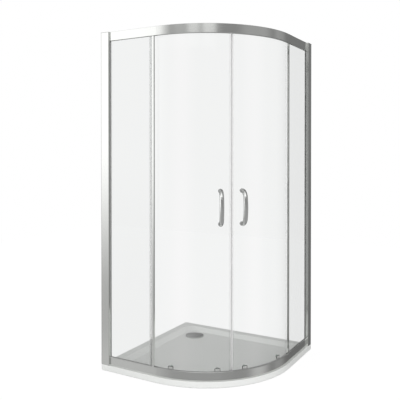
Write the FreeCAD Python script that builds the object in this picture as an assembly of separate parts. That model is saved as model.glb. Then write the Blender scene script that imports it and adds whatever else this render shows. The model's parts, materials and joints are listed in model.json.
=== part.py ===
import FreeCAD, Part
import math
import os

# Quadrant shower enclosure on a low tray, in millimetres.
# The origin is on the floor, at the centre of the square that the tray fills. Z is up.
# The walls are the planes x = -half and y = +half, and the curved front faces +x and -y.
# Left-hand pieces are drawn, and right-hand ones are their mirror images in the diagonal.

# Overall sizes
enclosure_size = 900.0
corner_radius = 540.0
tray_height = 33.0
screen_height = 1833.0

# Tray
tray_edge_round = 3.0
tray_outer_corner = 8.0
rim_width = 50.0
rim_corner = 46.0
step_run = 42.0
floor_corner = 70.0
floor_depth = 17.0
underside_chamfer = 4.0

# Waste
waste_inset = 175.0
waste_hole_radius = 45.0
waste_recess_radius = 58.0
waste_recess_depth = 3.0
waste_fit = 0.2
waste_seal_thickness = 1.0
flange_thickness = 1.6
flange_tube_radius = 43.0
flange_tube_wall = 3.0
flange_tube_length = 10.0
cover_radius = 57.0
cover_edge = 2.0
cover_rise = 4.0
cover_wall = 1.5
cover_foot_radius = 4.0
cover_foot_height = 3.0
cover_foot_circle = 48.0
cover_feet = 3

# Bent rails, measured inwards from the outer face
rail_inset = 11.0
rail_wall = 1.8
rail_edge_break = 1.0
pocket_start = 5.0
pocket_width = 8.0
track_width = 16.4
top_rail_height = 48.0
top_rail_depth = 38.0
top_pocket_depth = 14.0
track_upstand = 3.2
top_inner_lip = 4.5
bottom_rail_height = 45.5
bottom_rail_depth = 20.0
bottom_pocket_floor = 28.0
bottom_hook_lip = 3.0
infill_height = 5.0
infill_recess = 1.0
infill_fit = 0.2

# Wall channel and the profile that slides over it, measured out from the wall
profile_proud = 10.0
profile_wall = 1.8
profile_edge_break = 1.0
profile_start = 3.0
profile_face = 51.0
profile_chamber = 6.0
profile_pocket = 14.0
channel_end_gap = 2.0
channel_fit = 0.4
channel_hole_radius = 3.0
channel_hole_end = 160.0
channel_holes = 4
profile_screw_end = 260.0
profile_screws = 3
profile_screw_shank = 1.8
profile_screw_hole = 2.0
profile_screw_head = 3.8
profile_screw_head_height = 2.0
profile_screw_length = 8.0
profile_screw_from_wall = 20.0
profile_cap_height = 2.0

# Glass
glass_thickness = 6.0
glass_edge_gap = 2.0
gasket_show = 1.2
setting_block_height = 2.0
setting_block_length = 40.0
setting_block_inset = 50.0
setting_block_fit = 0.2

# Jamb on the free edge of each fixed panel
jamb_setback = 17.0
jamb_width = 10.0
jamb_web = 1.6
jamb_leg = 1.4
jamb_fit = 0.1
jamb_fin_reach = 6.0
jamb_fin_wall = 1.5
jamb_fin_base = 8.0
jamb_fin_base_wall = 1.5

# Doors, measured inwards from the rail's outer face and along the arc from the diagonal
door_inward = 29.0
curve_gap = 0.2
door_top_gap = 6.5
door_bottom_gap = 4.5
seam_half_gap = 0.4
magnet_nose = 6.5
seal_wall = 1.2
seal_fit = 0.2
seal_leg = 6.0
edge_seal_web = 2.0
edge_fin_reach = 7.0
door_lap_angle = 51.4
bottom_seal_web = 1.6
bottom_seal_leg = 4.0
bottom_seal_end_gap = 1.0

# Handles
handle_angle = 6.8
handle_height = 921.0
handle_centres = 172.0
handle_bar_radius = 11.5
handle_post = 4.0
handle_bend = 36.0
handle_bow_angle = 10.0
handle_washer = 1.0
handle_washer_radius = 11.5
handle_screw_radius = 3.0
handle_screw_fit = 0.2
handle_screw_depth = 6.0
handle_screw_head = 8.0
handle_screw_head_height = 4.0
handle_hole_radius = 5.0

# Rollers
near_roller_angle = 8.57
far_roller_angle = 36.95
wheel_width = 6.0
wheel_chamfer = 0.8
wheel_recess_depth = 1.6
wheel_recess_radius = 6.5
wheel_track_gap = 0.3
wheel_bore_fit = 0.05
wheel_side_gap = 0.2
top_wheel_radius = 10.0
bottom_wheel_radius = 9.0
axle_radius = 4.0
axle_head_radius = 6.0
axle_head_height = 1.2
axle_shoulder_radius = 5.5
stud_radius = 4.0
stud_past_glass = 4.0
bush_wall = 2.0
roller_hole_fit = 0.1
cap_radius = 8.0
cap_rim = 5.0
cap_dome = 2.0
cap_dome_radius = 6.0
cap_bottom_gap = 0.3
arm_thickness = 3.0
arm_pad_width = 30.0
arm_pad_height = 10.0
arm_pad_drop = 5.0
arm_corner = 2.0
arm_radius = 9.0
arm_stud_above_rail = 5.0
arm_disc_radius = 4.0
arm_disc_height = 1.0

# Stops for the doors in the top rail
stop_share = 0.406
stop_length = 12.0
stop_height = 7.0
stop_fit = 0.2

# One overrun for every cut that passes right through
overrun = 5.0

# Values that follow from the sizes above
half = enclosure_size / 2
arc_offset = half - corner_radius
rail_face = half - rail_inset
rail_radius = corner_radius - rail_inset
screen_top = tray_height + screen_height
top_rail_bottom = screen_top - top_rail_height
bottom_rail_top = tray_height + bottom_rail_height
floor_level = tray_height - floor_depth
profile_end = profile_start + profile_face
profile_web = profile_end - profile_pocket - profile_chamber - 2 * profile_wall
profile_top = screen_top - profile_cap_height
pocket_inner = pocket_start + pocket_width
profile_depth = profile_proud + pocket_inner + profile_wall
pocket_wall = pocket_start - rail_wall
glass_front = pocket_start + (pocket_width - glass_thickness) / 2
glass_back = glass_front + glass_thickness
panel_length = half + arc_offset
jamb_end = panel_length - jamb_setback
glass_start = profile_end - profile_pocket + glass_edge_gap
door_back = door_inward + glass_thickness
door_seat = door_back + curve_gap
door_mid_radius = rail_radius - door_inward - glass_thickness / 2
door_bottom = tray_height + door_bottom_gap
door_top = screen_top - door_top_gap
wheel_middle = rail_wall + track_width / 2
wheel_outer = wheel_middle - wheel_width / 2
wheel_inner = wheel_middle + wheel_width / 2
top_track = top_rail_bottom + top_pocket_depth + rail_wall
top_axle_level = top_track + wheel_track_gap + top_wheel_radius
bottom_track = tray_height + bottom_pocket_floor
bottom_axle_level = bottom_track - wheel_track_gap - bottom_wheel_radius
arm_stud_level = bottom_rail_top + arm_stud_above_rail
roller_hole_radius = stud_radius + bush_wall + roller_hole_fit
quarter_turn = 90.0
arc_axis = FreeCAD.Vector(arc_offset, -arc_offset, 0)
up = FreeCAD.Vector(0, 0, 1)
outwards = FreeCAD.Vector(1, 0, 0)
mirror_normal = FreeCAD.Vector(1, 1, 0)
start = FreeCAD.Vector(0, 0, 0)


def mirrored(shape):
    """The right-hand twin of a left-hand piece."""
    return shape.mirror(start, mirror_normal)


def ring(points):
    """A closed wire through points in order."""
    vectors = [FreeCAD.Vector(*p) for p in points]
    return Part.makePolygon(vectors + vectors[:1])


def face_with_holes(outline, holes):
    """A flat face with its openings cut out."""
    face = Part.Face(ring(outline))
    for hole in holes:
        face = face.cut(Part.Face(ring(hole)))
    return face.Faces[0]


def panel_prism(outline, holes, low, high):
    """A left-hand upright profile from (distance from wall, distance inwards) points."""
    def world(points):
        return [(-half + s, -rail_face + u, low) for s, u in points]
    face = face_with_holes(world(outline), [world(h) for h in holes])
    return face.extrude(FreeCAD.Vector(0, 0, high - low))


def panel_box(s0, s1, u0, u1, low, high):
    """A left-hand upright block."""
    return panel_prism([(s0, u0), (s1, u0), (s1, u1), (s0, u1)], [], low, high)


def bent_section(outline, holes, level):
    """A rail face at the left tangent plane from (distance inwards, height) points."""
    def world(points):
        return [(arc_offset, -rail_face + u, level + z) for u, z in points]
    return face_with_holes(world(outline), [world(h) for h in holes])


def bent_rail(outline, holes, level):
    """A rail that runs straight, round the quarter bend and straight again."""
    face = bent_section(outline, holes, level)
    run = face.extrude(FreeCAD.Vector(profile_end - panel_length, 0, 0))
    bend = face.revolve(arc_axis, up, quarter_turn)
    return run.fuse([bend, mirrored(run)]).removeSplitter()


def along_arc(length):
    """The angle of a length along the middle of the door glass."""
    return math.degrees(length / door_mid_radius)


def sector(u0, u1, low, high, t0, t1):
    """A curved upright strip between two angles from the diagonal, on the left."""
    r0 = rail_radius - u1
    r1 = rail_radius - u0
    face = Part.Face(ring([(r0, 0, low), (r1, 0, low), (r1, 0, high), (r0, 0, high)]))
    return at_angle(face.revolve(start, up, t1 - t0), t1)


def at_angle(shape, angle):
    """Carry a piece drawn along +X out to its angle from the diagonal, on the left."""
    placed = shape.copy()
    placed.rotate(start, up, -quarter_turn / 2 - angle)
    placed.translate(arc_axis)
    return placed


def turned(points, level):
    """A turned piece on a level radial axis from (distance inwards, radius) points."""
    outline = [(rail_radius - u, 0, level + r) for u, r in points]
    face = Part.Face(ring(outline))
    return face.revolve(FreeCAD.Vector(0, 0, level), outwards, 4 * quarter_turn)


def peg(u0, u1, radius, level):
    """A plain round peg on a level radial axis."""
    base = FreeCAD.Vector(rail_radius - u1, 0, level)
    return Part.makeCylinder(radius, u1 - u0, base, outwards)


def quadrant(inset, corner, level):
    """The tray's outline, drawn in by an inset, with its three wall corners rounded."""
    edge = half - inset
    bend = corner_radius - inset
    diagonal = math.sqrt(2) / 2
    def point(x, y):
        return FreeCAD.Vector(x, y, level)
    def line(a, b):
        return Part.LineSegment(a, b).toShape()
    def arc(a, b, c):
        return Part.Arc(a, b, c).toShape()
    def round_off(cx, cy, a, b):
        middle = FreeCAD.Vector(a[0] + b[0], a[1] + b[1], 0)
        middle.normalize()
        tip = point(cx + corner * middle.x, cy + corner * middle.y)
        first = point(cx + corner * a[0], cy + corner * a[1])
        last = point(cx + corner * b[0], cy + corner * b[1])
        return first, tip, last
    near = edge - corner
    back_left = round_off(-near, near, (0, 1), (-1, 0))
    front_left = round_off(-near, -near, (-1, 0), (0, -1))
    back_right = round_off(near, near, (1, 0), (0, 1))
    bend_start = point(arc_offset, -edge)
    bend_middle = point(arc_offset + bend * diagonal, -arc_offset - bend * diagonal)
    bend_end = point(edge, -arc_offset)
    return Part.Wire([
        arc(*back_left),
        line(back_left[2], front_left[0]),
        arc(*front_left),
        line(front_left[2], bend_start),
        arc(bend_start, bend_middle, bend_end),
        line(bend_end, back_right[0]),
        arc(*back_right),
        line(back_right[2], back_left[0]),
    ])


def upright_disc(radius, low, high):
    """A round block on the waste's axis."""
    base = FreeCAD.Vector(-half + waste_inset, half - waste_inset, low)
    return Part.makeCylinder(radius, high - low, base, up)


def waste_turned(points):
    """A piece turned about the waste's axis from (radius, height) points."""
    x = -half + waste_inset
    face = Part.Face(ring([(x + r, -x, z) for r, z in points]))
    return face.revolve(FreeCAD.Vector(x, -x, 0), up, 4 * quarter_turn)


def shower_tray():
    """A low tray: flat rim, sloping step, level floor and the waste's seat."""
    lower = Part.makeLoft([quadrant(underside_chamfer, tray_outer_corner, 0),
                           quadrant(0, tray_outer_corner, underside_chamfer)], True, True)
    body_height = tray_height - underside_chamfer
    body = Part.Face(quadrant(0, tray_outer_corner, underside_chamfer))
    body = body.extrude(FreeCAD.Vector(0, 0, body_height))
    top_edges = [e for e in body.Edges if e.BoundBox.ZMin > tray_height - underside_chamfer]
    body = body.makeFillet(tray_edge_round, top_edges)
    dish = Part.makeLoft([quadrant(rim_width + step_run, floor_corner, floor_level),
                          quadrant(rim_width, rim_corner, tray_height)], True, True)
    tray = lower.fuse(body).removeSplitter().cut(dish)
    tray = tray.cut(upright_disc(waste_recess_radius, floor_level - waste_recess_depth, tray_height))
    return tray.cut(upright_disc(waste_hole_radius, -overrun, tray_height))


def waste_seal():
    """The flat ring under the waste's flange."""
    low = floor_level - waste_recess_depth
    outer = upright_disc(waste_recess_radius - waste_fit, low, low + waste_seal_thickness)
    return outer.cut(upright_disc(waste_hole_radius, low - overrun, low + overrun))


def waste_flange():
    """The flange with the outlet tube that goes down through the tray."""
    low = floor_level - waste_recess_depth + waste_seal_thickness
    rim = waste_recess_radius - waste_fit
    bore = flange_tube_radius - flange_tube_wall
    foot = low - flange_tube_length
    return waste_turned([(bore, foot), (flange_tube_radius, foot), (flange_tube_radius, low), (rim, low),
                         (rim, low + flange_thickness), (bore, low + flange_thickness)])


def waste_dome(radius, low, edge, rise):
    """A shallow dome on the waste's axis, with an upright edge under it."""
    x = -half + waste_inset
    def point(r, z):
        return FreeCAD.Vector(x + r, -x, z)
    brim = low + edge
    crown = brim + rise
    ball = (radius ** 2 + rise ** 2) / (2 * rise)
    lean = math.asin(radius / ball) / 2
    midway = point(ball * math.sin(lean), crown - ball + ball * math.cos(lean))
    bow = Part.Arc(point(radius, brim), midway, point(0, crown)).toShape()
    edges = [Part.makeLine(point(0, low), point(radius, low)),
             Part.makeLine(point(radius, low), point(radius, brim)),
             bow,
             Part.makeLine(point(0, crown), point(0, low))]
    return Part.Face(Part.Wire(edges)).revolve(FreeCAD.Vector(x, -x, 0), up, 4 * quarter_turn)


def waste_cover():
    """A domed cover that stands on three feet, so that water runs in under its edge."""
    x = -half + waste_inset
    seat = floor_level - waste_recess_depth + waste_seal_thickness + flange_thickness
    low = seat + cover_foot_height
    cover = waste_dome(cover_radius, low, cover_edge, cover_rise)
    cover = cover.cut(waste_dome(cover_radius - cover_wall, low, cover_edge - cover_wall, cover_rise))
    feet = []
    for i in range(cover_feet):
        turn = 2 * math.pi * i / cover_feet
        along = cover_foot_circle * math.cos(turn)
        across = cover_foot_circle * math.sin(turn)
        base = FreeCAD.Vector(x + along, -x + across, seat)
        feet.append(Part.makeCylinder(cover_foot_radius, cover_foot_height + cover_edge, base, up))
    return cover.fuse(feet)


def top_rail():
    """Fascia and a closed chamber, glazing pocket, wheel track above it, open towards the shower."""
    w = rail_wall
    shelf = top_pocket_depth
    track = shelf + w
    upstand = w + track_width
    full = top_rail_height
    back = top_rail_depth
    e = rail_edge_break
    outline = [(0, e), (e, 0), (pocket_start, 0), (pocket_start, shelf), (pocket_inner, shelf),
               (pocket_inner, 0), (pocket_inner + w, 0), (pocket_inner + w, shelf), (upstand + w, shelf),
               (upstand + w, track + track_upstand), (upstand, track + track_upstand), (upstand, track),
               (w, track), (w, full - w), (back - w, full - w), (back - w, full - top_inner_lip),
               (back, full - top_inner_lip), (back, full), (e, full), (0, full - e)]
    chamber = [(w, w), (pocket_wall, w), (pocket_wall, shelf), (w, shelf)]
    return bent_rail(outline, [chamber], top_rail_bottom)


def bottom_rail():
    """Fascia and a closed chamber, glazing pocket, hooked wheel groove below it, open to the shower."""
    w = rail_wall
    web = bottom_pocket_floor
    full = bottom_rail_height
    back = bottom_rail_depth
    e = rail_edge_break
    outline = [(0, e), (e, 0), (back, 0), (back, w), (w, w), (w, web), (back - w, web),
               (back - w, web - bottom_hook_lip), (back, web - bottom_hook_lip), (back, web + w),
               (pocket_inner + w, web + w), (pocket_inner + w, full), (pocket_inner, full),
               (pocket_inner, web + w), (pocket_start, web + w), (pocket_start, full), (e, full),
               (0, full - e)]
    chamber = [(w, web + w), (pocket_wall, web + w), (pocket_wall, full - w), (w, full - w)]
    return bent_rail(outline, [chamber], tray_height)


def rail_infills():
    """Strips that close the empty glazing pockets round the bend."""
    def strip(low):
        return sector(pocket_start + infill_fit, pocket_inner - infill_fit, low, low + infill_height,
                      -quarter_turn / 2, quarter_turn / 2)
    lower = strip(bottom_rail_top - infill_recess - infill_height)
    upper = strip(top_rail_bottom + infill_recess)
    return Part.Compound([lower, upper])


def door_stops():
    """Rubber blocks on the top track that end each door's travel."""
    s1 = panel_length * (1 - stop_share)
    block = panel_box(s1 - stop_length, s1, rail_wall + stop_fit, rail_wall + track_width - stop_fit,
                      top_track, top_track + stop_height)
    return Part.Compound([block, mirrored(block)])


def spread(count, end):
    """Heights of evenly spaced fixings up a profile, as far from its top as from its foot."""
    low = tray_height + end
    high = profile_top - end
    return [low + (high - low) * i / (count - 1) for i in range(count)]


def wall_channel():
    """The U channel on the wall, with its fixing holes left open."""
    w = profile_wall
    u0 = -profile_proud + profile_wall + channel_fit
    u1 = -profile_proud + profile_depth - profile_wall - channel_fit
    reach = profile_web - channel_end_gap
    outline = [(0, u0), (reach, u0), (reach, u0 + w), (w, u0 + w), (w, u1 - w), (reach, u1 - w),
               (reach, u1), (0, u1)]
    channel = panel_prism(outline, [], tray_height, profile_top)
    middle = -rail_face + (u0 + u1) / 2
    for level in spread(channel_holes, channel_hole_end):
        base = FreeCAD.Vector(-half - overrun, middle, level)
        channel = channel.cut(Part.makeCylinder(channel_hole_radius, 2 * overrun, base, outwards))
    return channel.cut(screw_holes())


def screw_holes():
    """Holes for the screws that join the profile to the channel, from the shower side."""
    back = -rail_face - profile_proud + profile_depth + overrun
    depth = profile_screw_length + overrun
    holes = []
    for level in spread(profile_screws, profile_screw_end):
        base = FreeCAD.Vector(-half + profile_screw_from_wall, back, level)
        holes.append(Part.makeCylinder(profile_screw_hole, depth, base, FreeCAD.Vector(0, -1, 0)))
    return Part.Compound(holes)


def panel_profile():
    """The hollow upright that slides over the channel and holds the fixed glass in a pocket."""
    w = profile_wall
    e = profile_edge_break
    front = -profile_proud
    back = front + profile_depth
    web = profile_web
    end = profile_end
    floor = end - profile_pocket
    outline = [(profile_start + e, front), (end - e, front), (end, front + e), (end, pocket_start),
               (floor, pocket_start), (floor, pocket_inner), (end, pocket_inner), (end, back - e),
               (end - e, back), (profile_start + e, back), (profile_start, back - e),
               (profile_start, back - w), (web, back - w), (web, front + w), (profile_start, front + w),
               (profile_start, front + e)]
    chamber = [(web + w, front + w), (end - w, front + w), (end - w, pocket_start - w),
               (floor - w, pocket_start - w), (floor - w, back - w), (web + w, back - w)]
    return panel_prism(outline, [chamber], tray_height, profile_top).cut(screw_holes())


def profile_screw_set():
    """Pan-head screws through the profile into the channel."""
    back = -rail_face - profile_proud + profile_depth
    inwards = FreeCAD.Vector(0, 1, 0)
    screws = []
    for level in spread(profile_screws, profile_screw_end):
        base = FreeCAD.Vector(-half + profile_screw_from_wall, back, level)
        head = Part.makeCylinder(profile_screw_head, profile_screw_head_height, base, inwards)
        shank = Part.makeCylinder(profile_screw_shank, profile_screw_length, base, -inwards)
        screws.append(head.fuse(shank).removeSplitter())
    return Part.Compound(screws)


def profile_cap():
    """The cap on top of the upright."""
    front = -profile_proud
    back = front + profile_depth
    return panel_box(0, profile_end, front, back, profile_top, profile_top + profile_cap_height)


def fixed_glass_levels():
    """Bottom and top of the fixed panels, inside the rails' pockets."""
    low = bottom_track + rail_wall + setting_block_height
    high = top_rail_bottom + top_pocket_depth - glass_edge_gap
    return low, high


def fixed_glass():
    """The flat fixed panel."""
    low, high = fixed_glass_levels()
    return panel_box(glass_start, jamb_end - jamb_web - jamb_fit, glass_front, glass_back, low, high)


def setting_blocks():
    """The blocks in the bottom pocket that the fixed glass stands on."""
    low = bottom_track + rail_wall
    first = profile_end + setting_block_inset
    last = panel_length - setting_block_inset
    u0 = pocket_start + setting_block_fit
    u1 = pocket_inner - setting_block_fit
    blocks = [panel_box(s, s + setting_block_length, u0, u1, low, low + setting_block_height)
              for s in (first, last - setting_block_length)]
    return Part.Compound(blocks)


def glass_gaskets():
    """The strips either side of the fixed glass, in both rails and in the upright's pocket."""
    low, high = fixed_glass_levels()
    s0 = glass_start
    s1 = jamb_end - jamb_width
    upright_end = profile_end + gasket_show
    strips = []
    for u0, u1 in ((pocket_start, glass_front), (glass_back, pocket_inner)):
        strips.append(panel_box(s0, s1, u0, u1, low, bottom_rail_top))
        strips.append(panel_box(s0, s1, u0, u1, top_rail_bottom, high))
        strips.append(panel_box(s0, upright_end, u0, u1, bottom_rail_top, top_rail_bottom))
    return Part.Compound(strips)


def jamb_profile():
    """The U trim on the free edge of the fixed glass."""
    s0 = jamb_end - jamb_width
    s1 = jamb_end
    u0 = glass_front - jamb_fit
    u1 = glass_back + jamb_fit
    outline = [(s0, u0 - jamb_leg), (s1, u0 - jamb_leg), (s1, u1 + jamb_leg), (s0, u1 + jamb_leg), (s0, u1),
               (s1 - jamb_web, u1), (s1 - jamb_web, u0), (s0, u0)]
    return panel_prism(outline, [], bottom_rail_top, top_rail_bottom)


def jamb_seal():
    """The soft fin on the jamb that reaches towards the door."""
    s1 = jamb_end
    s0 = s1 - jamb_fin_base
    u0 = glass_back + jamb_fit + jamb_leg
    base = u0 + jamb_fin_base_wall
    tip = u0 + jamb_fin_reach
    middle = (s0 + s1) / 2
    outline = [(s0, u0), (s1, u0), (s1, base), (middle, base), (s0 + jamb_fin_wall, tip), (s0, tip)]
    return panel_prism(outline, [], bottom_rail_top, top_rail_bottom)


def door_glass():
    """One curved door leaf with its drilled holes."""
    t0 = along_arc(seam_half_gap + magnet_nose + seal_fit)
    glass = sector(door_inward, door_back, door_bottom, door_top, t0, door_lap_angle)
    u0 = door_inward - overrun
    u1 = door_back + overrun
    drills = []
    for angle in (near_roller_angle, far_roller_angle):
        for level in (top_axle_level, arm_stud_level):
            drills.append(at_angle(peg(u0, u1, roller_hole_radius, level), angle))
    for level in handle_levels():
        drills.append(at_angle(peg(u0, u1, handle_hole_radius, level), handle_angle))
    return glass.cut(Part.Compound(drills))


def edge_channel(low, high, web0, web1, leg_end):
    """A curved U strip over an upright edge of the door glass, from its web to the end of its legs."""
    u0 = door_inward - seal_fit
    u1 = door_back + seal_fit
    web = sector(u0 - seal_wall, u1 + seal_wall, low, high, min(web0, web1), max(web0, web1))
    t0 = min(web1, leg_end)
    t1 = max(web1, leg_end)
    legs = [sector(u0 - seal_wall, u0, low, high, t0, t1), sector(u1, u1 + seal_wall, low, high, t0, t1)]
    return web.fuse(legs).removeSplitter()


def magnet_seal():
    """The magnetic strip on the edge that closes against the other door."""
    nose = along_arc(seam_half_gap)
    web = along_arc(seam_half_gap + magnet_nose)
    return edge_channel(door_bottom, door_top, nose, web, web + along_arc(seal_leg))


def edge_seal():
    """The strip on the door's outer edge, with a fin towards the fixed panel."""
    glass_edge = door_lap_angle + along_arc(seal_fit)
    far = glass_edge + along_arc(edge_seal_web)
    strip = edge_channel(door_bottom, door_top, far, glass_edge, glass_edge - along_arc(seal_leg))
    root = door_inward - seal_fit - seal_wall
    near = far - along_arc(seal_wall)
    fin = sector(root - edge_fin_reach, root, bottom_rail_top, top_rail_bottom, near, far)
    return strip.fuse(fin).removeSplitter()


def bottom_seal():
    """The drip strip under the door glass."""
    u0 = door_inward - seal_fit
    u1 = door_back + seal_fit
    t0 = along_arc(seam_half_gap + magnet_nose + seal_leg + bottom_seal_end_gap)
    t1 = door_lap_angle - along_arc(seal_leg + bottom_seal_end_gap)
    web_top = door_bottom - seal_fit
    high = door_bottom + bottom_seal_leg
    web = sector(u0 - seal_wall, u1 + seal_wall, web_top - bottom_seal_web, web_top, t0, t1)
    legs = [sector(u0 - seal_wall, u0, web_top, high, t0, t1),
            sector(u1, u1 + seal_wall, web_top, high, t0, t1)]
    return web.fuse(legs).removeSplitter()


def handle_levels():
    """Heights of a handle's two fixings."""
    return (handle_height - handle_centres / 2, handle_height + handle_centres / 2)


def handle_path(glass_face):
    """The bar's centre line: out from the glass, a tight bend, a long bow and the same back."""
    bow = math.radians(handle_bow_angle)
    rise = handle_centres / 2
    out = glass_face + handle_post
    turn = math.radians(quarter_turn) - bow
    middle_turn = turn / 2
    def point(x, z):
        return FreeCAD.Vector(x, 0, handle_height + z)
    def bend(angle, side):
        x = out + handle_bend * math.sin(angle)
        return point(x, side * (rise - handle_bend + handle_bend * math.cos(angle)))
    shoulder = rise - handle_bend + handle_bend * math.cos(turn)
    bow_radius = shoulder / math.sin(bow)
    crown = out + handle_bend * math.sin(turn) + bow_radius * (1 - math.cos(bow))
    edges = [Part.makeLine(point(glass_face, rise), point(out, rise)),
             Part.Arc(point(out, rise), bend(middle_turn, 1), bend(turn, 1)).toShape(),
             Part.Arc(bend(turn, 1), point(crown, 0), bend(turn, -1)).toShape(),
             Part.Arc(bend(turn, -1), bend(middle_turn, -1), point(out, -rise)).toShape(),
             Part.makeLine(point(out, -rise), point(glass_face, -rise))]
    return Part.Wire(edges)


def handle():
    """A round bow handle, bored at both feet for its screws."""
    face = rail_radius - door_inward + handle_washer
    path = handle_path(face)
    foot = FreeCAD.Vector(face, 0, handle_levels()[1])
    section = Part.Face(Part.Wire(Part.makeCircle(handle_bar_radius, foot, outwards)))
    bar = path.makePipe(section)
    u1 = door_inward - handle_washer
    for level in handle_levels():
        bar = bar.cut(peg(u1 - handle_screw_depth - handle_screw_fit, u1 + overrun,
                          handle_screw_radius + handle_screw_fit, level))
    return at_angle(bar, handle_angle)


def handle_washers():
    """Clear washers between the handle, the glass and the screw heads."""
    rings = []
    bore = handle_screw_radius + handle_screw_fit
    for level in handle_levels():
        for u0, u1 in ((door_inward - handle_washer, door_inward), (door_seat, door_seat + handle_washer)):
            outline = [(u0, bore), (u0, handle_washer_radius), (u1, handle_washer_radius), (u1, bore)]
            rings.append(at_angle(turned(outline, level), handle_angle))
    return Part.Compound(rings)


def handle_screws():
    """Screws from inside, with round heads."""
    seat = door_seat + handle_washer
    tip = door_inward - handle_washer - handle_screw_depth
    end = seat + handle_screw_head_height
    outline = [(tip, 0), (tip, handle_screw_radius), (seat, handle_screw_radius), (seat, handle_screw_head),
               ((seat + end) / 2, handle_screw_head), (end, handle_screw_head / 2), (end, 0)]
    return Part.Compound([at_angle(turned(outline, level), handle_angle) for level in handle_levels()])


def wheel(radius, level, angle):
    """A plain wheel, recessed for the axle's head."""
    bore = axle_radius + wheel_bore_fit
    recess = wheel_outer + wheel_recess_depth
    c = wheel_chamfer
    outline = [(wheel_outer, wheel_recess_radius), (wheel_outer, radius - c), (wheel_outer + c, radius),
               (wheel_inner - c, radius), (wheel_inner, radius - c), (wheel_inner, bore), (recess, bore),
               (recess, wheel_recess_radius)]
    return at_angle(turned(outline, level), angle)


def axle_outline(end):
    """Head, journal and shoulder of an axle that stands out from the door as far as the wheel."""
    head = wheel_outer + wheel_recess_depth - wheel_side_gap
    tip = head - axle_head_height
    shoulder = wheel_inner + wheel_side_gap
    return [(tip, 0), (tip, axle_head_radius), (head, axle_head_radius), (head, axle_radius),
            (shoulder, axle_radius), (shoulder, axle_shoulder_radius), (end, axle_shoulder_radius)]


def top_axles():
    """Axles of the top wheels, with the studs that go through the glass."""
    stud_end = door_back + stud_past_glass
    outline = axle_outline(door_inward)
    outline = outline + [(door_inward, stud_radius), (stud_end, stud_radius), (stud_end, 0)]
    return Part.Compound([at_angle(turned(outline, top_axle_level), a)
                          for a in (near_roller_angle, far_roller_angle)])


def bottom_arms():
    """Plates on the glass that carry the bottom wheels in the rail's groove."""
    front = rail_radius - door_inward
    wide = arm_pad_width / 2
    pad_top = bottom_rail_top + arm_pad_height
    pad_foot = bottom_rail_top - arm_pad_drop
    neck = pad_foot - (wide - arm_radius)
    left = [(arm_radius, bottom_axle_level), (arm_radius, neck), (wide, pad_foot),
            (wide, pad_top - arm_corner), (wide - arm_corner, pad_top)]
    right = [(-y, z) for y, z in reversed(left)]
    plate = Part.Face(ring([(front, y, z) for y, z in left + right]))
    plate = plate.extrude(FreeCAD.Vector(arm_thickness, 0, 0))
    arm_face = door_inward - arm_thickness
    end = peg(arm_face, door_inward, arm_radius, bottom_axle_level)
    pin = turned(axle_outline(arm_face) + [(arm_face, 0)], bottom_axle_level)
    disc = peg(arm_face - arm_disc_height, arm_face, arm_disc_radius, arm_stud_level)
    stud = peg(door_inward, door_back + stud_past_glass, stud_radius, arm_stud_level)
    arm = plate.fuse([end, pin, disc, stud]).removeSplitter()
    return Part.Compound([at_angle(arm, a) for a in (near_roller_angle, far_roller_angle)])


def roller_pegs(outline):
    """The same turned piece at every roller hole of a door."""
    return Part.Compound([at_angle(turned(outline, level), angle)
                          for angle in (near_roller_angle, far_roller_angle)
                          for level in (top_axle_level, arm_stud_level)])


def roller_bushes():
    """Bushes that keep the studs off the glass."""
    bore = stud_radius + roller_hole_fit
    outer = roller_hole_radius - roller_hole_fit
    return roller_pegs([(door_inward, bore), (door_inward, outer), (door_back, outer), (door_back, bore)])


def roller_caps():
    """Domed nuts on the studs, on the shower side."""
    bore = stud_radius + roller_hole_fit
    blind = door_back + stud_past_glass + cap_bottom_gap
    rim = door_seat + cap_rim
    crown = rim + cap_dome
    return roller_pegs([(door_seat, bore), (door_seat, cap_radius), (rim, cap_radius),
                        (crown, cap_dome_radius), (crown, 0), (blind, 0), (blind, bore)])


os.makedirs("parts", exist_ok=True)

single_nodes = {
    "shower_tray": shower_tray,
    "waste_seal": waste_seal,
    "waste_flange": waste_flange,
    "waste_cover": waste_cover,
    "bottom_rail": bottom_rail,
    "top_rail": top_rail,
    "rail_infills": rail_infills,
    "door_stops": door_stops,
}
handed_nodes = {
    "wall_channel": wall_channel,
    "panel_profile": panel_profile,
    "profile_screws": profile_screw_set,
    "profile_cap": profile_cap,
    "fixed_glass": fixed_glass,
    "setting_blocks": setting_blocks,
    "glass_gaskets": glass_gaskets,
    "jamb_profile": jamb_profile,
    "jamb_seal": jamb_seal,
    "door_glass": door_glass,
    "magnet_seal": magnet_seal,
    "edge_seal": edge_seal,
    "bottom_seal": bottom_seal,
    "handle": handle,
    "handle_washers": handle_washers,
    "handle_screws": handle_screws,
    "top_axles": top_axles,
    "bottom_arms": bottom_arms,
    "roller_bushes": roller_bushes,
    "roller_caps": roller_caps,
    "top_wheel_near": lambda: wheel(top_wheel_radius, top_axle_level, near_roller_angle),
    "top_wheel_far": lambda: wheel(top_wheel_radius, top_axle_level, far_roller_angle),
    "bottom_wheel_near": lambda: wheel(bottom_wheel_radius, bottom_axle_level, near_roller_angle),
    "bottom_wheel_far": lambda: wheel(bottom_wheel_radius, bottom_axle_level, far_roller_angle),
}

for name, make in single_nodes.items():
    make().exportStep("parts/" + name + ".step")
for name, make in handed_nodes.items():
    piece = make()
    piece.exportStep("parts/left_" + name + ".step")
    mirrored(piece).exportStep("parts/right_" + name + ".step")
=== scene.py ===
import json
import math

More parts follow.
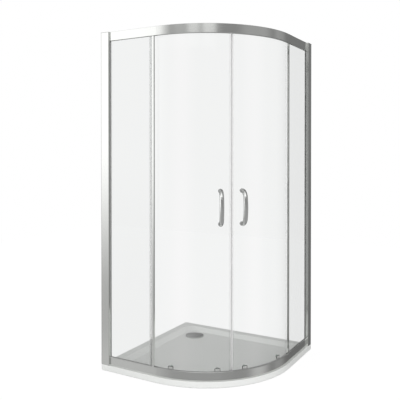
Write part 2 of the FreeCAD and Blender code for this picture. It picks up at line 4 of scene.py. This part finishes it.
import bpy
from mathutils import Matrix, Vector

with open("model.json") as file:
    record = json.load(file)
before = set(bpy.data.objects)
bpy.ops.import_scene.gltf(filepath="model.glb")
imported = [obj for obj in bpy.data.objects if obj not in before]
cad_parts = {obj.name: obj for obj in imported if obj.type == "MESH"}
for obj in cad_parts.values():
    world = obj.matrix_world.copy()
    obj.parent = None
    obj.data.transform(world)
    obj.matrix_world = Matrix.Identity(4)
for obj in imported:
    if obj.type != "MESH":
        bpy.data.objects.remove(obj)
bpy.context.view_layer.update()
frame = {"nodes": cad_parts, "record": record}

nodes = frame["nodes"]
scene = bpy.context.scene
scene.view_settings.view_transform = "Standard"

# Camera, in metres, with the lens shift that keeps the uprights upright
CAMERA_PLACE = Vector((1.5931, -2.9002, 1.2089))
CAMERA_TARGET = Vector((-0.0795, 0.0045, 1.1772))
CAMERA_LENS = 51.185
CAMERA_SENSOR = 36.0
CAMERA_SHIFT_Y = -0.1067

# Sky, lamp and floor: the floor's bounce is what lights the part, its shade and glow what shows
SKY_HORIZON = 0.86
SKY_ZENITH = 0.76
KEY_PLACE = Vector((2.0, -3.1, 1.1))
KEY_TARGET = Vector((0.0, 0.0, 0.6))
KEY_SIZE = 2.6
KEY_POWER = 42.0
FLOOR_SIZE = 9.0
FLOOR_BOUNCE = 0.9
FLOOR_SHADE = 0.2
FLOOR_GLOW = 0.85

# What the floor's glow gives up under the lamp, how far ahead of the lamp and beside its middle
POOL_DIM = 0.15
POOL_START = (-0.2, -0.1)
POOL_AHEAD = (-0.15, 2.2)
POOL_BESIDE = (0.4, 1.5)

# The dim room that polished metal reflects: its level falls between two azimuths in degrees
ROOM_TURN = (20.0, 75.0)
ROOM_LEVELS = (0.235, 0.15)
HALF_TURN = 180.0

# Ranges of height on the unit sphere of directions: where a light panel begins and where it ends
FROM_BELOW = (-2.0, -1.5)
TO_ABOVE = (1.5, 2.0)
ALL_HEIGHTS = (FROM_BELOW, TO_ABOVE)
AT_UPRIGHTS = ((-0.25, 0.02), (0.3, 0.42))
AT_JAMBS = ((-0.3, -0.25), (0.15, 0.176))
AT_TOP_RAIL = ((0.176, 0.187), (0.75, 1.0))
AT_BOTTOM_RAIL = (FROM_BELOW, (-0.335, -0.29))
OVERHEAD = ((0.24, 0.36), TO_ABOVE)
UPPER = ((-0.14, 0.05), (0.75, 1.0))
LOWER = (FROM_BELOW, (-0.2, 0.1))
BELOW_WASTE = (FROM_BELOW, (0.26, 0.3))
AT_WASTE = ((0.26, 0.3), TO_ABOVE)

# The soft panels in that room: middle, half width and soft edge in degrees, strength, heights
LIGHT_PANELS = [
    (-142.0, 15.0, 20.0, 0.75, *AT_UPRIGHTS),
    (-142.0, 14.0, 28.0, 0.2, *ALL_HEIGHTS),
    (-128.5, 1.5, 5.0, 0.09, *AT_BOTTOM_RAIL),
    (-109.0, 2.0, 7.0, 0.045, *AT_JAMBS),
    (-113.0, 3.0, 7.0, 0.22, *AT_TOP_RAIL),
    (-93.0, 2.0, 5.0, 0.03, *AT_TOP_RAIL),
    (-77.0, 19.0, 22.0, 0.2, *AT_TOP_RAIL),
    (-75.5, 3.0, 8.0, 0.3, *AT_TOP_RAIL),
    (-56.0, 4.5, 7.0, 0.34, *AT_TOP_RAIL),
    (-61.0, 30.0, 25.0, 0.55, *OVERHEAD),
    (5.0, 11.0, 20.0, 0.115, *UPPER),
    (66.0, 8.0, 8.0, 0.035, *UPPER),
    (-75.0, 28.0, 26.0, 0.09, *LOWER),
    (-20.0, 6.0, 14.0, 0.045, *LOWER),
    (9.0, 2.0, 20.0, 0.24, *LOWER),
    (46.0, 4.0, 12.0, 0.12, *UPPER),
    (46.0, 4.0, 12.0, 0.085, *LOWER),
    (160.0, 30.0, 45.0, 0.16, *BELOW_WASTE),
    (158.0, 20.0, 36.0, 0.27, *AT_WASTE),
]

# Parts of a noise's range that are spread over a socket and over two close colours
NOISE_SPREAD = (0.3, 0.7)
TINT_SPREAD = (0.35, 0.65)

# How noise is stretched along draw lines and up the glass, and how rough aluminium is
EVEN = (1.0, 1.0, 1.0)
ALONG_RAIL = (8.0, 8.0, 900.0)
ALONG_UPRIGHT = (900.0, 900.0, 6.0)
UP_THE_GLASS = (1.0, 1.0, 0.4)
POLISHED = (0.1, 0.17)
MILL = (0.3, 0.42)

# Colours of metal, tray, glass edge and plastic
BRIGHT_COLOUR = (0.88, 0.89, 0.87)
MILL_COLOUR = (0.5, 0.505, 0.5)
CHROME_COLOUR = (0.9, 0.91, 0.9)
STEEL_COLOUR = (0.62, 0.62, 0.61)
# The tray's colours are painted light and shade on one white acrylic: lighter on the step, darker
# on the flat faces and skirt
TRAY_FLAT_PAINTED_SHADE = (0.79, 0.8, 0.785)
TRAY_STEP_PAINTED_LIGHT = (0.93, 0.94, 0.925)
TRAY_SKIRT_PAINTED_SHADE = (0.81, 0.82, 0.805)
GLASS_EDGE = (0.5, 0.64, 0.58)
PLATE_COLOUR = (0.58, 0.585, 0.575)
# Painted shade along the outline of the roller plates
OUTLINE_SHADE_COLOUR = (0.1, 0.105, 0.1)

# Pairs of close colours for moulded pieces
CAP_COLOURS = ((0.56, 0.565, 0.555), (0.6, 0.605, 0.595))
GREY_COLOURS = ((0.27, 0.275, 0.27), (0.31, 0.315, 0.31))
WHITE_COLOURS = ((0.78, 0.78, 0.77), (0.82, 0.82, 0.81))
INFILL_COLOURS = ((0.3, 0.305, 0.3), (0.34, 0.345, 0.34))

# Colours of vinyl
SEAM_COLOUR = (0.65, 0.65, 0.65)
EDGE_COLOUR = (0.85, 0.85, 0.85)
FIN_COLOUR = (0.8, 0.8, 0.8)
# The glazing vinyl's grey is partly its own colour and partly painted shade of the gap beside it
GLAZING_GREY_AND_GAP_SHADE = (0.54, 0.54, 0.535)
SEAL_COLOUR = (0.66, 0.66, 0.66)
RUBBER_COLOUR = (0.5, 0.5, 0.51)

# Rise of a face of the tray at which each of its three colours is full: painted light and shade
# that follow how the face tilts
SKIRT_RISE = 0.5
STEP_RISE = 0.85
FLAT_RISE = 0.985

# The bend's axis, and on the doors the radius of the glass and the angles of the rollers and edge
BEND_AXIS = (-0.09, 0.09, 0.0)
DOOR_RADIUS = 0.505
ROLLER_ANGLES = (8.57, 36.95)
DOOR_EDGE = (math.radians(51.36), math.radians(51.44))

# Light that passes each face of the panes, their faint green, and the rise of their cut edges
DOOR_CLARITY = 0.958
PANE_CLARITY = 0.938
GREEN_CAST = 0.002
CUT_EDGE = (0.4, 0.6)

# Share of the panes that mirrors, straight on and at a grazing angle, and the power of the change
MIRROR_SHARES = (0.02, 0.35)
MIRROR_POWER = 5.0

# Painted reflections, as faint brighter bands in the curved glass: angle and share of each, what
# they add, half width
DOOR_PAINTED_REFLECTIONS = ((-30.5, 1.0), (15.5, 0.7))
PAINTED_REFLECTION_LIFT = 0.013
PAINTED_REFLECTION_WIDTH = math.radians(11.0)

# The plates of the bottom rollers: top edge, half width and width of the painted shade along their
# outline
PLATE_TOP = 0.0885
PLATE_HALF = 0.015
OUTLINE_SHADE_WIDTH = 0.0036

# The seam's strip: across the seam, where the magnets show, how far they do and how milky it is
SEAM_ACROSS = (math.sqrt(0.5), math.sqrt(0.5), 0.0)
SEAM_PLACE = 0.0019
SEAM_REACH = (0.0027, 0.0054)
SEAM_COVERS = (0.88, 0.02)

# How cloudy the strips on the doors' outer edges are, where they lap the glass and past it; past
# the glass the left strip is cloudier than the right, painted shade that darkens its line
LAP_COVER = 0.02
EDGE_COVER_WITH_SHADE = {"left": 0.22, "right": 0.05}

# How far the cloudiness of other vinyl varies
COVER_SWING = 0.02


def node_tree(owner):
    """The emptied node tree of a material or world, and a function that adds nodes to it."""
    owner.use_nodes = True
    tree = owner.node_tree
    tree.nodes.clear()

    def add(kind, **settings):
        node = tree.nodes.new(kind)
        for key, value in settings.items():
            setattr(node, key, value)
        return node
    return tree, add


def link(tree, source, target):
    """Join two sockets."""
    tree.links.new(source, target)


def opaque(colour):
    """A colour with full alpha."""
    return (*colour, 1.0)


def grey(level):
    """A neutral colour of one level, with full alpha."""
    return opaque((level, level, level))


def surface(name, colour, metallic=0.0, roughness=0.4, **sockets):
    """A principled material with its constants on the shader's own sockets."""
    material = bpy.data.materials.new(name)
    tree, add = node_tree(material)
    shader = add("ShaderNodeBsdfPrincipled")
    output = add("ShaderNodeOutputMaterial")
    link(tree, shader.outputs["BSDF"], output.inputs["Surface"])
    shader.inputs["Base Color"].default_value = opaque(colour)
    shader.inputs["Metallic"].default_value = metallic
    shader.inputs["Roughness"].default_value = roughness
    for key, value in sockets.items():
        shader.inputs[key.replace("_", " ")].default_value = value
    return material, tree, add, shader


def sums(tree, add):
    """Two functions that add nodes: for a sum, and for a smooth change between two levels."""
    def maths(kind, first, second=None):
        node = add("ShaderNodeMath", operation=kind)
        for socket, value in zip(node.inputs, (first, second)):
            if value is None:
                continue
            if isinstance(value, float):
                socket.default_value = value
            else:
                link(tree, value, socket)
        return node.outputs["Value"]

    def smooth(value, start, end, low, high):
        node = add("ShaderNodeMapRange", interpolation_type="SMOOTHSTEP")
        numbers = {"From Min": start, "From Max": end, "To Min": low, "To Max": high}
        for key, number in numbers.items():
            node.inputs[key].default_value = number
        link(tree, value, node.inputs["Value"])
        return node.outputs["Result"]
    return maths, smooth


def along(tree, add, direction):
    """How far a point lies along a direction in the object's own frame."""
    place = add("ShaderNodeTexCoord")
    dot = add("ShaderNodeVectorMath", operation="DOT_PRODUCT")
    dot.inputs[1].default_value = direction
    link(tree, place.outputs["Object"], dot.inputs[0])
    return dot.outputs["Value"]


def round_bend(tree, add):
    """A point's angle from the diagonal round the bend's axis, positive right, and its height."""
    maths = sums(tree, add)[0]
    place = add("ShaderNodeTexCoord")
    moved = add("ShaderNodeVectorMath", operation="SUBTRACT")
    moved.inputs[1].default_value = BEND_AXIS
    split = add("ShaderNodeSeparateXYZ")
    link(tree, place.outputs["Object"], moved.inputs[0])
    link(tree, moved.outputs["Vector"], split.inputs["Vector"])
    turn = maths("ARCTAN2", split.outputs["Y"], split.outputs["X"])
    return maths("ADD", turn, math.pi / 4), split.outputs["Z"]


def rise(tree, add):
    """The upward part of a face's own direction."""
    form = add("ShaderNodeNewGeometry")
    split = add("ShaderNodeSeparateXYZ")
    link(tree, form.outputs["True Normal"], split.inputs["Vector"])
    return split.outputs["Z"]


def object_noise(tree, add, scale, stretch=EVEN, detail=3.0):
    """Noise in the object's own frame, stretched along an axis."""
    place = add("ShaderNodeTexCoord")
    mapping = add("ShaderNodeMapping")
    mapping.inputs["Scale"].default_value = stretch
    noise = add("ShaderNodeTexNoise")
    noise.inputs["Scale"].default_value = scale
    noise.inputs["Detail"].default_value = detail
    link(tree, place.outputs["Object"], mapping.inputs["Vector"])
    link(tree, mapping.outputs["Vector"], noise.inputs["Vector"])
    return noise.outputs["Fac"]


def vary(tree, add, source, target, low, high):
    """Spread a noise over a range and feed it to a socket."""
    spread = add("ShaderNodeMapRange")
    spread.inputs["From Min"].default_value = NOISE_SPREAD[0]
    spread.inputs["From Max"].default_value = NOISE_SPREAD[1]
    spread.inputs["To Min"].default_value = low
    spread.inputs["To Max"].default_value = high
    link(tree, source, spread.inputs["Value"])
    link(tree, spread.outputs["Result"], target)


def bump(tree, add, shader, source, strength, distance):
    """A fine relief from a noise."""
    relief = add("ShaderNodeBump")
    relief.inputs["Strength"].default_value = strength
    relief.inputs["Distance"].default_value = distance
    link(tree, source, relief.inputs["Height"])
    link(tree, relief.outputs["Normal"], shader.inputs["Normal"])


def blend(tree, add, source, shader, *stops):
    """Colour a shader by a value, with a position and a colour for each stop."""
    ramp = add("ShaderNodeValToRGB")
    points = ramp.color_ramp.elements
    for point, (position, colour) in zip(points, stops):
        point.position = position
        point.color = opaque(colour)
    for position, colour in stops[len(points):]:
        points.new(position).color = opaque(colour)
    link(tree, source, ramp.inputs["Fac"])
    link(tree, ramp.outputs["Color"], shader.inputs["Base Color"])


def aluminium(name, colour, stretch, roughness):
    """Aluminium with the faint draw lines of an extrusion."""
    material, tree, add, shader = surface(name, colour, metallic=1.0)
    lines = object_noise(tree, add, scale=1.0, stretch=stretch)
    vary(tree, add, lines, shader.inputs["Roughness"], *roughness)
    bump(tree, add, shader, lines, strength=0.03, distance=0.0004)
    return material


def chrome():
    """Bright chrome with a slight haze."""
    material, tree, add, shader = surface("chrome", CHROME_COLOUR, metallic=1.0)
    haze = object_noise(tree, add, scale=60.0)
    vary(tree, add, haze, shader.inputs["Roughness"], low=0.04, high=0.09)
    return material


def plain_steel():
    """Turned steel."""
    material, tree, add, shader = surface("steel", STEEL_COLOUR, metallic=1.0)
    turning = object_noise(tree, add, scale=900.0)
    vary(tree, add, turning, shader.inputs["Roughness"], low=0.24, high=0.38)
    bump(tree, add, shader, turning, strength=0.05, distance=0.0002)
    return material


def tray_acrylic():
    """Glossy white acrylic with a slight orange-peel, with painted light on the step round its
    floor and painted shade on its flat faces and skirt.
    """
    material, tree, add, shader = surface("tray", TRAY_FLAT_PAINTED_SHADE, roughness=0.28, Coat_Weight=0.25,
                                          Coat_Roughness=0.12)
    peel = object_noise(tree, add, scale=240.0, detail=2.0)
    bump(tree, add, shader, peel, strength=0.06, distance=0.0004)
    # Painted light and shade: the colour follows how far each face tilts up
    blend(tree, add, rise(tree, add), shader, (SKIRT_RISE, TRAY_SKIRT_PAINTED_SHADE), (STEP_RISE, TRAY_STEP_PAINTED_LIGHT),
          (FLAT_RISE, TRAY_FLAT_PAINTED_SHADE))
    return material


def mix_shaders(tree, add, factor, first, second):
    """Mix two shaders by a factor."""
    mix = add("ShaderNodeMixShader")
    link(tree, factor, mix.inputs["Fac"])
    link(tree, first, mix.inputs[1])
    link(tree, second, mix.inputs[2])
    return mix.outputs["Shader"]


def mirror(tree, add, below, shine):
    """Lay a reflection over a shader, faint straight on and stronger at a grazing angle."""
    view = add("ShaderNodeLayerWeight")
    view.inputs["Blend"].default_value = 0.5
    power = add("ShaderNodeMath", operation="POWER")
    power.inputs[1].default_value = MIRROR_POWER
    share = add("ShaderNodeMapRange")
    share.inputs["To Min"].default_value = MIRROR_SHARES[0]
    share.inputs["To Max"].default_value = MIRROR_SHARES[1]
    output = add("ShaderNodeOutputMaterial")
    link(tree, view.outputs["Facing"], power.inputs[0])
    link(tree, power.outputs["Value"], share.inputs["Value"])
    mixed = mix_shaders(tree, add, share.outputs["Result"], below.outputs["BSDF"],
                        shine.outputs["BSDF"])
    link(tree, mixed, output.inputs["Surface"])


def clear_glass(name, clarity, painted_bands=()):
    """Clear toughened glass that lets light straight through, greener on its cut edges, with faint
    painted reflections as brighter bands where these are given.
    """
    material = bpy.data.materials.new(name)
    tree, add = node_tree(material)
    maths, smooth = sums(tree, add)
    through = add("ShaderNodeBsdfTransparent")
    green = (clarity - GREEN_CAST, clarity + GREEN_CAST, clarity)
    pane = add("ShaderNodeMixRGB")
    pane.inputs["Fac"].default_value = 0.0
    pane.inputs["Color1"].default_value = opaque(green)
    pane.inputs["Color2"].default_value = grey(clarity + PAINTED_REFLECTION_LIFT)
    # Painted reflections: bands round the bend that let more light through
    if painted_bands:
        turn = round_bend(tree, add)[0]
        painted_glints = []
        for middle, share in painted_bands:
            away = maths("ABSOLUTE", maths("SUBTRACT", turn, math.radians(middle)))
            painted_glints.append(smooth(away, 0.0, PAINTED_REFLECTION_WIDTH, share, 0.0))
        link(tree, maths("ADD", *painted_glints), pane.inputs["Fac"])
    edge = add("ShaderNodeMixRGB")
    edge.inputs["Color2"].default_value = opaque(GLASS_EDGE)
    level = maths("ABSOLUTE", rise(tree, add))
    link(tree, smooth(level, *CUT_EDGE, 0.0, 1.0), edge.inputs["Fac"])
    link(tree, pane.outputs["Color"], edge.inputs["Color1"])
    link(tree, edge.outputs["Color"], through.inputs["Color"])
    shine = add("ShaderNodeBsdfGlossy")
    shine.inputs["Color"].default_value = grey(1.0)
    shine.inputs["Roughness"].default_value = 0.02
    ripple = object_noise(tree, add, scale=2.2, stretch=UP_THE_GLASS, detail=1.0)
    bump(tree, add, shine, ripple, strength=0.02, distance=0.001)
    mirror(tree, add, through, shine)
    return material


def vinyl(name, colour, clarity):
    """Soft vinyl, its draw lines, and the socket for the share of it that scatters light."""
    material = bpy.data.materials.new(name)
    tree, add = node_tree(material)
    through = add("ShaderNodeBsdfTransparent")
    through.inputs["Color"].default_value = grey(clarity)
    body = add("ShaderNodeBsdfPrincipled")
    body.inputs["Base Color"].default_value = opaque(colour)
    drawn = object_noise(tree, add, scale=1.0, stretch=ALONG_UPRIGHT)
    vary(tree, add, drawn, body.inputs["Roughness"], low=0.26, high=0.4)
    cloud = add("ShaderNodeMixShader")
    output = add("ShaderNodeOutputMaterial")
    link(tree, through.outputs["BSDF"], cloud.inputs[1])
    link(tree, body.outputs["BSDF"], cloud.inputs[2])
    link(tree, cloud.outputs["Shader"], output.inputs["Surface"])
    return material, tree, add, drawn, cloud.inputs["Fac"]


def clear_vinyl(name, colour, cover, clarity=0.95):
    """Vinyl that is equally clear all over."""
    material, tree, add, drawn, share = vinyl(name, colour, clarity)
    vary(tree, add, drawn, share, cover - COVER_SWING, cover + COVER_SWING)
    return material


def seam_vinyl():
    """The strip between the doors: milky where the magnets meet, clear beyond."""
    material, tree, add, _, share = vinyl("seam_vinyl", SEAM_COLOUR, clarity=0.99)
    maths, smooth = sums(tree, add)
    beside = maths("SUBTRACT", along(tree, add, SEAM_ACROSS), SEAM_PLACE)
    link(tree, smooth(maths("ABSOLUTE", beside), *SEAM_REACH, *SEAM_COVERS), share)
    return material


def edge_vinyl(name, cover):
    """The strip on a door's outer edge: cloudy past the glass, clear where it laps it."""
    material, tree, add, _, share = vinyl(name, EDGE_COLOUR, clarity=0.993)
    maths, smooth = sums(tree, add)
    turn = maths("ABSOLUTE", round_bend(tree, add)[0])
    link(tree, smooth(turn, *DOOR_EDGE, LAP_COVER, cover), share)
    return material


def roller_plate():
    """Pale moulded plates with painted shade as a dark outline along their top and sides."""
    material, tree, add, shader = surface("roller_plate", PLATE_COLOUR)
    maths, smooth = sums(tree, add)
    turn, height = round_bend(tree, add)
    middle = math.radians(sum(ROLLER_ANGLES) / 2)
    apart = math.radians(abs(ROLLER_ANGLES[1] - ROLLER_ANGLES[0]) / 2)
    side = maths("SUBTRACT", maths("ABSOLUTE", turn), middle)
    swing = maths("SUBTRACT", maths("ABSOLUTE", side), apart)
    across = maths("MULTIPLY", maths("ABSOLUTE", swing), DOOR_RADIUS)

    # Painted shade: a dark band along the plates' top and sides, where their edges fall in shade
    def shade_edge(value, edge):
        return smooth(value, edge - OUTLINE_SHADE_WIDTH, edge - OUTLINE_SHADE_WIDTH / 2, 0.0, 1.0)

    outline_shade = maths("MAXIMUM", shade_edge(across, PLATE_HALF), shade_edge(height, PLATE_TOP))
    blend(tree, add, outline_shade, shader, (0.0, PLATE_COLOUR), (1.0, OUTLINE_SHADE_COLOUR))
    return material


def moulded(name, colours, roughness=0.4):
    """Moulded plastic with a fine spark-eroded grain, between two close colours."""
    material, tree, add, shader = surface(name, colours[0], roughness=roughness)
    grain = object_noise(tree, add, scale=1400.0)
    bump(tree, add, shader, grain, strength=0.12, distance=0.0002)
    cloud = object_noise(tree, add, scale=30.0)
    blend(tree, add, cloud, shader, *zip(TINT_SPREAD, colours))
    return material


def dress(name, material):
    """Give a CAD node one material."""
    mesh = nodes[name].data
    mesh.materials.clear()
    mesh.materials.append(material)


def dress_all():
    """Dress each node by its slot, and then those that look different from their slot."""
    finish = {
        "tray": tray_acrylic(),
        "chrome": chrome(),
        "steel": plain_steel(),
        "glass": clear_glass("fixed_glass", PANE_CLARITY),
        "clear_seal": clear_vinyl("clear_seal", SEAL_COLOUR, cover=0.2),
        "gasket": clear_vinyl("gasket", RUBBER_COLOUR, cover=0.2),
        "grey_plastic": moulded("grey_plastic", GREY_COLOURS),
        "white_plastic": moulded("white_plastic", WHITE_COLOURS, roughness=0.38),
        "mill_aluminium": aluminium("channel_aluminium", MILL_COLOUR, ALONG_UPRIGHT, MILL),
        "polished_aluminium": aluminium("upright_aluminium", BRIGHT_COLOUR, ALONG_UPRIGHT,
                                        POLISHED),
    }
    for part in frame["record"]["subparts"]:
        dress(part["node"], finish[part["material_slot"]])
    rail_metal = aluminium("rail_aluminium", BRIGHT_COLOUR, ALONG_RAIL, POLISHED)
    for rail in ("top_rail", "bottom_rail"):
        dress(rail, rail_metal)
    dress("rail_infills", moulded("infill", INFILL_COLOURS, roughness=0.5))
    on_each_side = {
        "_door_glass": clear_glass("door_glass", DOOR_CLARITY, DOOR_PAINTED_REFLECTIONS),
        "_magnet_seal": seam_vinyl(),
        "_jamb_seal": clear_vinyl("fin_vinyl", FIN_COLOUR, cover=0.03, clarity=0.993),
        "_glass_gaskets": clear_vinyl("glazing_vinyl", GLAZING_GREY_AND_GAP_SHADE, cover=0.85),
        "_bottom_arms": roller_plate(),
        "_roller_caps": moulded("arm_plastic", CAP_COLOURS),
    }
    # The left strip's larger cover is painted shade
    for side, cover in EDGE_COVER_WITH_SHADE.items():
        for ending, material in on_each_side.items():
            dress(side + ending, material)
        dress(side + "_edge_seal", edge_vinyl(side + "_edge_vinyl", cover))


def seen_rays(tree, add):
    """The kinds of ray, and a value that is one for the camera and through glass."""
    maths = sums(tree, add)[0]
    rays = add("ShaderNodeLightPath").outputs
    return rays, maths("MAXIMUM", rays["Is Camera Ray"], rays["Is Transmission Ray"])


def world_light():
    """White for the camera and through glass, a soft studio for the rest."""
    world = bpy.data.worlds.new("studio")
    scene.world = world
    tree, add = node_tree(world)
    output = add("ShaderNodeOutputWorld")
    place = add("ShaderNodeTexCoord")
    split = add("ShaderNodeSeparateXYZ")
    link(tree, place.outputs["Generated"], split.inputs["Vector"])

    maths, smooth = sums(tree, add)
    azimuth = maths("ARCTAN2", split.outputs["Y"], split.outputs["X"])
    azimuth = maths("MULTIPLY", azimuth, HALF_TURN / math.pi)
    height = split.outputs["Z"]

    def panel(centre, half_width, soft, strength, low, high):
        """A soft light panel at an azimuth, between two heights of the unit sphere."""
        turn = maths("WRAP", maths("SUBTRACT", azimuth, centre), -HALF_TURN)
        turn.node.inputs[2].default_value = HALF_TURN
        across = smooth(maths("ABSOLUTE", turn), half_width, half_width + soft, strength, 0.0)
        risen = smooth(height, *low, 0.0, 1.0)
        return maths("MULTIPLY", across, maths("MULTIPLY", risen, smooth(height, *high, 1.0, 0.0)))

    def background(strength=None):
        """White light from all sides, of full strength where none is given."""
        shade = add("ShaderNodeBackground")
        shade.inputs["Color"].default_value = grey(1.0)
        if strength is not None:
            link(tree, strength, shade.inputs["Strength"])
        return shade.outputs["Background"]

    room = smooth(azimuth, *ROOM_TURN, *ROOM_LEVELS)
    for item in LIGHT_PANELS:
        room = maths("ADD", room, panel(*item))
    sky = smooth(height, 0.0, 1.0, SKY_HORIZON, SKY_ZENITH)
    rays, seen = seen_rays(tree, add)
    lit = mix_shaders(tree, add, rays["Is Glossy Ray"], background(sky), background(room))
    link(tree, mix_shaders(tree, add, seen, lit, background()), output.inputs["Surface"])


def aim(holder, place, target):
    """Stand an object at a place and point it at a target."""
    scene.collection.objects.link(holder)
    holder.location = place
    holder.rotation_euler = (target - place).to_track_quat("-Z", "Y").to_euler()


def key_light():
    """One wide soft lamp at the front right, behind the camera."""
    lamp = bpy.data.lights.new("key", "AREA")
    lamp.shape = "DISK"
    lamp.size = KEY_SIZE
    lamp.energy = KEY_POWER
    holder = bpy.data.objects.new("key", lamp)
    aim(holder, KEY_PLACE, KEY_TARGET)
    holder.visible_glossy = False
    holder.visible_camera = False


def even_glow(tree, add):
    """The floor's glow, dimmed in the pool of light ahead of the lamp so that it shows even."""
    maths, smooth = sums(tree, add)
    forward = -KEY_PLACE.to_2d().normalized()
    sideways = forward.orthogonal()
    ahead = maths("ADD", along(tree, add, (*forward, 0.0)), KEY_PLACE.to_2d().length)
    beside = maths("ABSOLUTE", along(tree, add, (*sideways, 0.0)))
    pool = maths("MULTIPLY", smooth(ahead, *POOL_START, 0.0, POOL_DIM),
                 smooth(ahead, *POOL_AHEAD, 1.0, 0.0))
    pool = maths("MULTIPLY", pool, smooth(beside, *POOL_BESIDE, 1.0, 0.0))
    return maths("SUBTRACT", FLOOR_GLOW, pool)


def floor_paint():
    """Matt and pale for the light that it throws back, white with a faint shadow for the camera."""
    material = bpy.data.materials.new("floor")
    tree, add = node_tree(material)
    output = add("ShaderNodeOutputMaterial")

    def matt(level):
        shader = add("ShaderNodeBsdfDiffuse")
        shader.inputs["Color"].default_value = grey(level)
        return shader.outputs["BSDF"]

    glow = add("ShaderNodeEmission")
    link(tree, even_glow(tree, add), glow.inputs["Strength"])
    pale = add("ShaderNodeAddShader")
    link(tree, matt(FLOOR_SHADE), pale.inputs[0])
    link(tree, glow.outputs["Emission"], pale.inputs[1])
    seen = seen_rays(tree, add)[1]
    mixed = mix_shaders(tree, add, seen, matt(FLOOR_BOUNCE), pale.outputs["Shader"])
    link(tree, mixed, output.inputs["Surface"])
    return material


def floor():
    """A pale floor that shows white and keeps a faint shadow."""
    mesh = bpy.data.meshes.new("floor")
    reach = FLOOR_SIZE / 2
    corners = [(-reach, -reach, 0.0), (reach, -reach, 0.0), (reach, reach, 0.0),
               (-reach, reach, 0.0)]
    mesh.from_pydata(corners, [], [(0, 1, 2, 3)])
    mesh.materials.append(floor_paint())
    ground = bpy.data.objects.new("floor", mesh)
    scene.collection.objects.link(ground)
    ground.visible_glossy = False


def camera():
    """The photograph's viewpoint."""
    lens = bpy.data.cameras.new("camera")
    lens.lens = CAMERA_LENS
    lens.sensor_width = CAMERA_SENSOR
    lens.shift_y = CAMERA_SHIFT_Y
    eye = bpy.data.objects.new("camera", lens)
    aim(eye, CAMERA_PLACE, CAMERA_TARGET)
    scene.camera = eye


dress_all()
world_light()
key_light()
floor()
camera()
